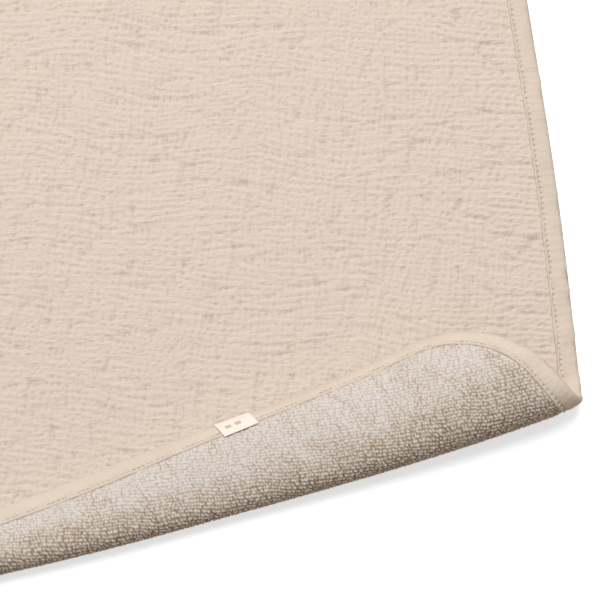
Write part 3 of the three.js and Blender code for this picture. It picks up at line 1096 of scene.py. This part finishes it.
def care_label():
    """A plain tab of tape sewn into the left seam."""
    low, high = box_mm("care_label")
    rows, columns = 12, 28
    closer_at_seam = np.linspace(0.0, 1.0, columns) ** 1.6
    across, along = np.meshgrid(closer_at_seam, np.linspace(0.0, 1.0, rows))
    across, along = across.ravel(), along.ravel()
    x = low[0] + (high[0] - low[0]) * across
    y = low[1] + (high[1] - low[1]) * along
    rise = low[2] + CARE_LABEL_REST + CARE_LABEL_BULGE * np.sin(math.pi * 0.9 * across)
    upper, lower = np.stack([x, y, rise + CARE_LABEL_THICKNESS], 1), np.stack([x, y, rise], 1)
    tab = tab_piece("care_label_tab", x, y, upper, lower, rows, columns, LABEL,
                    care_label_weight, "towel_body", "care_tab", "care_label_swing")
    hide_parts("care_label")


HANGER_TAPE = 6.0       # width of the loop's tape
HANGER_THICKNESS = 1.6
HANGER_HALF_WIDTH = 10.0
HANGER_LENGTH = 40.0
HANGER_TUCK = -2.5      # its ends start this far inside the tip
# half of the tape's section, as shares of its width and thickness
HANGER_SECTION = [(-0.5, -0.15), (-0.47, -0.4), (-0.38, -0.5), (-0.2, -0.42), (0.2, -0.42), (0.38, -0.5),
                  (0.47, -0.4), (0.5, -0.15)]


def hanging_loop():
    """A folded tape in a flat loop, its two ends at the hood's tip."""
    tip, _ = joint_place("loop_swing")
    outward = np.array([-1.0, 1.0]) / math.sqrt(2)
    sideways = np.array([1.0, 1.0]) / math.sqrt(2)
    bow = HANGER_HALF_WIDTH - HANGER_TAPE / 2
    straight = HANGER_LENGTH - HANGER_HALF_WIDTH
    legs = 24
    turns = np.linspace(0.0, math.pi, 40)
    centre = np.concatenate([
        np.stack([np.full(legs, -bow), np.linspace(HANGER_TUCK, straight, legs, endpoint=False)], 1),
        np.stack([-bow * np.cos(turns), straight + bow * np.sin(turns)], 1),
        np.stack([np.full(legs, bow), np.linspace(straight, HANGER_TUCK, legs + 1)[1:]], 1),
    ])
    heading = np.gradient(centre, axis=0)
    heading = heading / np.linalg.norm(heading, axis=1, keepdims=True)
    square = np.stack([-heading[:, 1], heading[:, 0]], 1)
    ring = np.array(HANGER_SECTION + [(u, -v) for u, v in HANGER_SECTION[::-1]])
    across = centre[:, None, :] + square[:, None, :] * (ring[None, :, 0:1] * HANGER_TAPE)
    rise = np.broadcast_to(MID + ring[None, :, 1] * HANGER_THICKNESS, across.shape[:2])
    plane = tip[:2] + across[..., 0:1] * sideways + across[..., 1:2] * outward
    points = np.concatenate([plane, rise[..., None]], -1).reshape(-1, 3)
    faces = grid_faces(len(centre), len(ring), wrap_columns=True)
    piece, _ = build_mesh("hanging_loop_tape", points, faces, BINDING, for_materials(*points.T[:2]))
    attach(piece, "loop")
    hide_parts("hanging_loop")


# ---- stage ----

FLOOR_GLOW = (0.54, 1.0)        # near the towel, and far off where the key light is weak
GLOW_RISES = (1.1, 3.5)         # metres from the towel's middle


def floor_material():
    """Overexposed white to the camera, and a warmer, dimmer card to the light it throws back."""
    material, tree, shader = new_material("floor_white")
    position = add_node(tree, "NewGeometry", {}, "Position")
    distance = add_node(tree, "VectorMath", {0: position}, "Value", operation="LENGTH")
    glow = add_node(tree, "MapRange", {
        "Value": distance, "From Min": GLOW_RISES[0], "From Max": GLOW_RISES[1],
        "To Min": FLOOR_GLOW[0], "To Max": FLOOR_GLOW[1],
    }, "Result")
    fill(tree, shader, {
        "Base Color": (0.84, 0.88, 0.92, 1.0), "Roughness": 0.9, "Specular IOR Level": 0.0,
        "Emission Color": (1.0, 1.0, 1.0, 1.0), "Emission Strength": glow,
    })
    card = add_node(tree, "BsdfDiffuse", {"Color": (0.68, 0.54, 0.38, 1.0)})
    seen = add_node(tree, "LightPath", {}, "Is Camera Ray")
    mix = add_node(tree, "MixShader", {"Fac": seen, 1: card, 2: shader.outputs["BSDF"]})
    fill(tree, tree.nodes["Material Output"], {"Surface": mix})
    return material


FLOOR_SIZE = 40.0               # metres from its middle to its sides
FLOOR_GAP = 0.1                 # millimetres below the towel


def floor():
    signs = np.array([(-1, -1), (1, -1), (1, 1), (-1, 1)])
    corners = np.append(signs * FLOOR_SIZE / MM, np.full((4, 1), -FLOOR_GAP), 1)
    plane, _ = build_mesh("floor", corners, np.array([[0, 1, 2, 3]]), floor_material())


def area_light(name, place_m, target_m, size, power):
    data = bpy.data.lights.new(name, "AREA")
    data.shape = "DISK"
    data.size = size
    data.energy = power
    light = bpy.data.objects.new(name, data)
    light.location = place_m
    light.rotation_euler = (Vector(target_m) - Vector(place_m)).to_track_quat("-Z", "Y").to_euler()
    bpy.context.scene.collection.objects.link(light)


SKY_LIGHT = 0.30
SKY_SEEN = 1.05


def lights():
    """A broad soft light high behind the towel, seen from the hem, and a dim even sky."""
    centre = (0.15, -0.2, 0.0)
    area_light("key", (0.05, 1.2, 2.8), centre, 2.1, 100.0)
    world = bpy.data.worlds.new("studio")
    world.use_nodes = True
    tree = world.node_tree
    seen = add_node(tree, "LightPath", {}, "Is Camera Ray")
    strength = add_node(tree, "MapRange", {"Value": seen, "To Min": SKY_LIGHT, "To Max": SKY_SEEN}, "Result")
    fill(tree, tree.nodes["Background"], {"Color": (1.0, 0.99, 0.97, 1.0), "Strength": strength})
    bpy.context.scene.world = world


VIEW_FROM_CORNER = (142.0, 161.0)       # what the camera looks at, in from the side and from the hem
VIEW_ELEVATION = math.radians(82)
VIEW_HEADING = math.radians(6.63)
VIEW_ANGLE = math.radians(18)
VIEW_DISTANCE = 1.0075


def camera():
    """Looks down on the turned-up corner from the hem's side."""
    target = Vector((HALF - VIEW_FROM_CORNER[0], -HALF + VIEW_FROM_CORNER[1], 0.0)) * MM
    forward = Vector((math.sin(VIEW_HEADING) * math.cos(VIEW_ELEVATION),
                      math.cos(VIEW_HEADING) * math.cos(VIEW_ELEVATION), -math.sin(VIEW_ELEVATION)))
    right = Vector((math.cos(VIEW_HEADING), -math.sin(VIEW_HEADING), 0.0))
    up = right.cross(forward)
    data = bpy.data.cameras.new("camera")
    data.sensor_fit = "HORIZONTAL"
    data.angle = VIEW_ANGLE
    eye = bpy.data.objects.new("camera", data)
    turn = Matrix((right, up, -forward)).transposed().to_4x4()
    eye.matrix_world = Matrix.Translation(target - forward * VIEW_DISTANCE) @ turn
    bpy.context.scene.collection.objects.link(eye)
    bpy.context.scene.camera = eye


muslin_face()
terry_back()
edge_binding()
edge_stitches()
hood_sheets()
hood_front()
woven_label()
care_label()
hanging_loop()
floor()
lights()
camera()
bpy.context.scene.view_settings.view_transform = "Standard"
